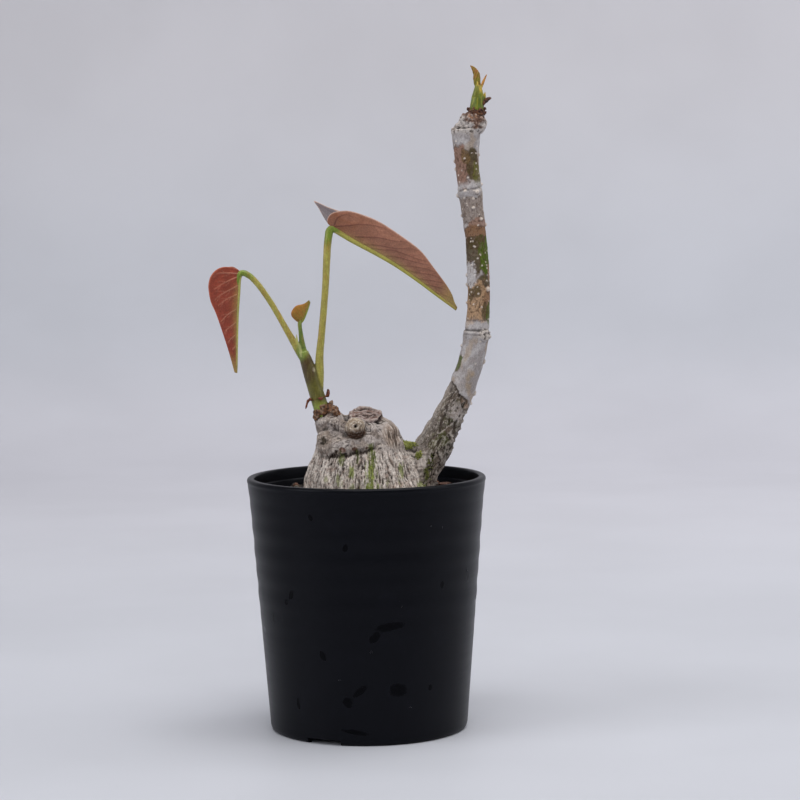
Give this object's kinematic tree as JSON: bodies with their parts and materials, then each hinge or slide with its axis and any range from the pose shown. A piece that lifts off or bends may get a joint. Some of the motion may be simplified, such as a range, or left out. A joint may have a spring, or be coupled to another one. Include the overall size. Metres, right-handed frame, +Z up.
{
  "type": "potted shaving brush tree",
  "caption": "Young shaving brush tree with a swollen grey base, a tall woody branch and folded red-brown new leaves, in a round black nursery pot.",
  "frame": {"origin": "middle of the pot's underside, on the surface that the pot stands on and on the pot's axis", "axes": "+Z up along the pot's axis, -Y to the front as pictured, +X to the right, towards the woody branch"},
  "size_m": [0.1067, 0.09, 0.2488],
  "materials": {
    "pot_plastic": "satin black moulded polypropylene, slightly wet in places",
    "soil": "dark, damp, crumbly potting mix",
    "bark_chip": "reddish-brown bark chip, rough",
    "bark": "light grey-beige fissured bark with green stripes and moss",
    "branch_bark": "thin grey and brown bark in bands with pale lenticels and green windows",
    "brown_crust": "dry brown bud scales and callus crumbs",
    "green_shoot": "soft green to olive-brown living stem and leaf stalks, lightly waxy",
    "leaf_left": "red-brown young leaf with pale pink veins, satin",
    "leaf_right": "pinkish-brown young leaf with darker veins and an olive midrib, satin",
    "leaf_young": "orange-olive unfolding leaf, satin",
    "tip_green": "fresh bright green bud",
    "tip_orange": "orange-brown first leaf and stipule, satin"
  },
  "bodies": {
    "root": {"pot": "pot_plastic", "soil": "soil", "bark_chip": "bark_chip", "caudex": "bark", "woody_stem": "branch_bark", "shoot_collar": "brown_crust", "dried_stipules": "brown_crust", "green_shoot": "green_shoot", "leaf_left": "leaf_left", "leaf_right": "leaf_right", "leaf_young": "leaf_young", "tip_collar": "brown_crust", "tip_bud": "tip_green", "tip_leaf": "tip_orange", "tip_stipule": "tip_orange"}
  },
  "joints": []
}
